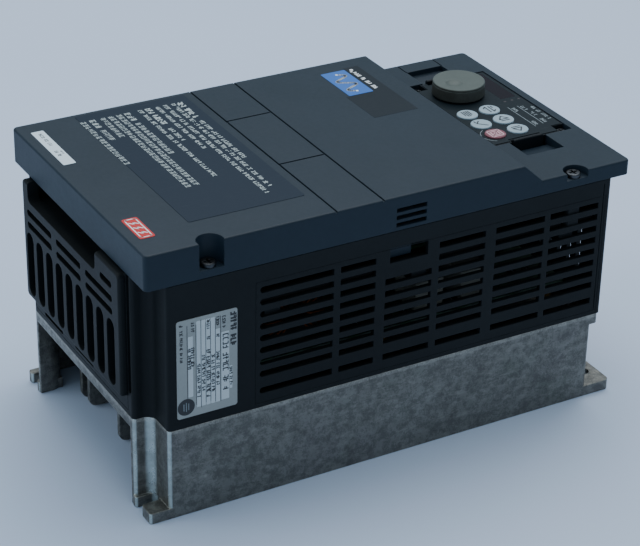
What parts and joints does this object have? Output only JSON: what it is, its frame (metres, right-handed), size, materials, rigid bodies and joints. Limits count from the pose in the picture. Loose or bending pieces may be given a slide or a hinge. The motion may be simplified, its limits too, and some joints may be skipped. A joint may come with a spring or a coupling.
{
  "type": "variable frequency drive",
  "caption": "Wall-mounted variable frequency drive: finned cast heatsink, slotted plastic case, comb wiring cover, hinged front cover and a pull-out panel with dial and keys.",
  "frame": {"origin": "middle of the footprint, on the mounting face under the heatsink", "axes": "+X to the right as seen from the front, +Y up the drive towards the operation panel, +Z out of the wall through the front cover"},
  "size_m": [0.1503, 0.263, 0.1401],
  "materials": {
    "cast_aluminium": "die cast, tumbled, lightly mottled",
    "case_plastic": "fine moulded grain, dark blue-grey",
    "cover_plastic": "fine moulded grain, dark blue-grey",
    "panel_plastic": "fine moulded grain, darker blue-grey",
    "panel_sheet": "printed polyester sheet, satin",
    "dial_plastic": "soft grey-green paint",
    "key_rubber": "pale grey-blue silicone",
    "stop_rubber": "red silicone",
    "smoked_lens": "smoked acrylic",
    "lamp_lens": "tinted acrylic",
    "label_sheet": "printed polyester label",
    "dark_label": "dark printed polyester label",
    "red_label": "red printed polyester label",
    "blue_badge": "blue printed badge",
    "rating_label": "silvered label, brushed",
    "zinc_steel": "zinc plated",
    "brass_insert": "turned",
    "board_laminate": "green solder mask over glass laminate",
    "black_part": "moulded black thermoset",
    "capacitor_sleeve": "shrunk sleeve with bare aluminium end",
    "choke_winding": "enamelled copper wire",
    "tape_yellow": "polyester winding tape",
    "module_plastic": "glass-filled black plastic",
    "relay_plastic": "white moulded plastic",
    "cable_grey": "grey ribbon insulation",
    "tinned_copper": "tinned copper",
    "terminal_green": "black moulded terminal body"
  },
  "bodies": {
    "base": {"base_screws": "zinc_steel", "board_carrier": "black_part", "board_screws": "zinc_steel", "board_standoffs": "brass_insert", "bus_capacitors": "capacitor_sleeve", "cable_headers": "relay_plastic", "case_body": "case_plastic", "charge_lamp": "lamp_lens", "control_board": "board_laminate", "control_terminal_block": "terminal_green", "control_terminal_screws": "zinc_steel", "cover_screw_inserts": "brass_insert", "current_sensors": "black_part", "filter_choke": "choke_winding", "flat_cable": "cable_grey", "heatsink_base": "cast_aluminium", "link_bar": "tinned_copper", "main_terminal_block": "black_part", "option_connectors": "black_part", "panel_socket": "black_part", "power_board": "board_laminate", "power_module": "module_plastic", "rating_plate": "rating_label", "relays": "relay_plastic", "switching_transformer": "tape_yellow", "terminal_plates": "tinned_copper", "terminal_screws": "zinc_steel"},
    "front_cover": {"front_cover": "cover_plastic", "warning_label": "dark_label", "serial_label": "label_sheet", "voltage_label": "red_label", "badge_plate": "blue_badge"},
    "cover_release_hook": {"cover_release_hook": "cover_plastic"},
    "cover_screw_lower": {"cover_screw_lower": "zinc_steel"},
    "cover_screw_upper": {"cover_screw_upper": "zinc_steel"},
    "wiring_cover": {"wiring_cover": "case_plastic"},
    "panel": {"panel_case": "panel_plastic", "panel_back": "panel_plastic", "panel_face": "panel_sheet", "display_window": "smoked_lens", "display_module": "black_part", "indicator_lamps": "lamp_lens", "panel_board": "board_laminate", "key_switches": "black_part", "encoder": "black_part", "panel_plug": "black_part"},
    "panel_screw_left": {"panel_screw_left": "zinc_steel"},
    "panel_screw_right": {"panel_screw_right": "zinc_steel"},
    "panel_latch_left": {"panel_latch_left": "panel_plastic"},
    "panel_latch_right": {"panel_latch_right": "panel_plastic"},
    "dial_push": {"dial_push_plate": "black_part"},
    "dial": {"setting_dial": "dial_plastic", "dial_shaft": "zinc_steel"},
    "mode_key": {"mode_key": "key_rubber"},
    "source_key": {"source_key": "key_rubber"},
    "set_key": {"set_key": "key_rubber"},
    "reverse_key": {"reverse_key": "key_rubber"},
    "stop_key": {"stop_key": "stop_rubber"},
    "forward_key": {"forward_key": "key_rubber"}
  },
  "joints": [
    {"name": "cover_hinge", "type": "hinge", "parent": "base", "child": "front_cover", "pos_m": [-0.075, 0, 0.1226], "axis": [0, -1, 0], "range_deg": [0, 95]},
    {"name": "release_hook_flex", "type": "slide", "parent": "front_cover", "child": "cover_release_hook", "axis": [-1, 0, 0], "range_m": [0, 0.0015], "stiffness_N_per_m": 2000},
    {"name": "wiring_cover_pull", "type": "slide", "parent": "base", "child": "wiring_cover", "axis": [0, -1, 0], "range_m": [0, 0.04]},
    {"name": "panel_pull", "type": "slide", "parent": "front_cover", "child": "panel", "axis": [0, 0, 1], "range_m": [0, 0.03]},
    {"name": "panel_latch_left_press", "type": "slide", "parent": "panel", "child": "panel_latch_left", "axis": [1, 0, 0], "range_m": [0, 0.001], "stiffness_N_per_m": 2000},
    {"name": "panel_latch_right_press", "type": "slide", "parent": "panel", "child": "panel_latch_right", "axis": [-1, 0, 0], "range_m": [0, 0.001], "stiffness_N_per_m": 2000},
    {"name": "dial_press", "type": "slide", "parent": "panel", "child": "dial_push", "axis": [0, 0, -1], "range_m": [0, 0.0005], "stiffness_N_per_m": 4000},
    {"name": "dial_turn", "type": "hinge", "parent": "dial_push", "child": "dial", "pos_m": [-0.0288, 0.097, 0.134], "axis": [0, 0, 1], "continuous": true},
    {"name": "cover_screw_lower_turn", "type": "hinge", "parent": "front_cover", "child": "cover_screw_lower", "pos_m": [0.071, -0.0975, 0.1265], "axis": [0, 0, 1], "continuous": true},
    {"name": "cover_screw_upper_turn", "type": "hinge", "parent": "front_cover", "child": "cover_screw_upper", "pos_m": [0.071, 0.099, 0.1265], "axis": [0, 0, 1], "continuous": true},
    {"name": "panel_screw_left_turn", "type": "hinge", "parent": "panel", "child": "panel_screw_left", "pos_m": [-0.0446, 0.0824, 0.127], "axis": [0, 0, 1], "continuous": true},
    {"name": "panel_screw_right_turn", "type": "hinge", "parent": "panel", "child": "panel_screw_right", "pos_m": [0.0286, 0.1212, 0.127], "axis": [0, 0, 1], "continuous": true},
    {"name": "mode_key_press", "type": "slide", "parent": "panel", "child": "mode_key", "axis": [0, 0, -1], "range_m": [0, 0.0005], "stiffness_N_per_m": 2000},
    {"name": "source_key_press", "type": "slide", "parent": "panel", "child": "source_key", "axis": [0, 0, -1], "range_m": [0, 0.0005], "stiffness_N_per_m": 2000},
    {"name": "set_key_press", "type": "slide", "parent": "panel", "child": "set_key", "axis": [0, 0, -1], "range_m": [0, 0.0005], "stiffness_N_per_m": 2000},
    {"name": "reverse_key_press", "type": "slide", "parent": "panel", "child": "reverse_key", "axis": [0, 0, -1], "range_m": [0, 0.0005], "stiffness_N_per_m": 2000},
    {"name": "stop_key_press", "type": "slide", "parent": "panel", "child": "stop_key", "axis": [0, 0, -1], "range_m": [0, 0.0005], "stiffness_N_per_m": 2000},
    {"name": "forward_key_press", "type": "slide", "parent": "panel", "child": "forward_key", "axis": [0, 0, -1], "range_m": [0, 0.0005], "stiffness_N_per_m": 2000}
  ]
}
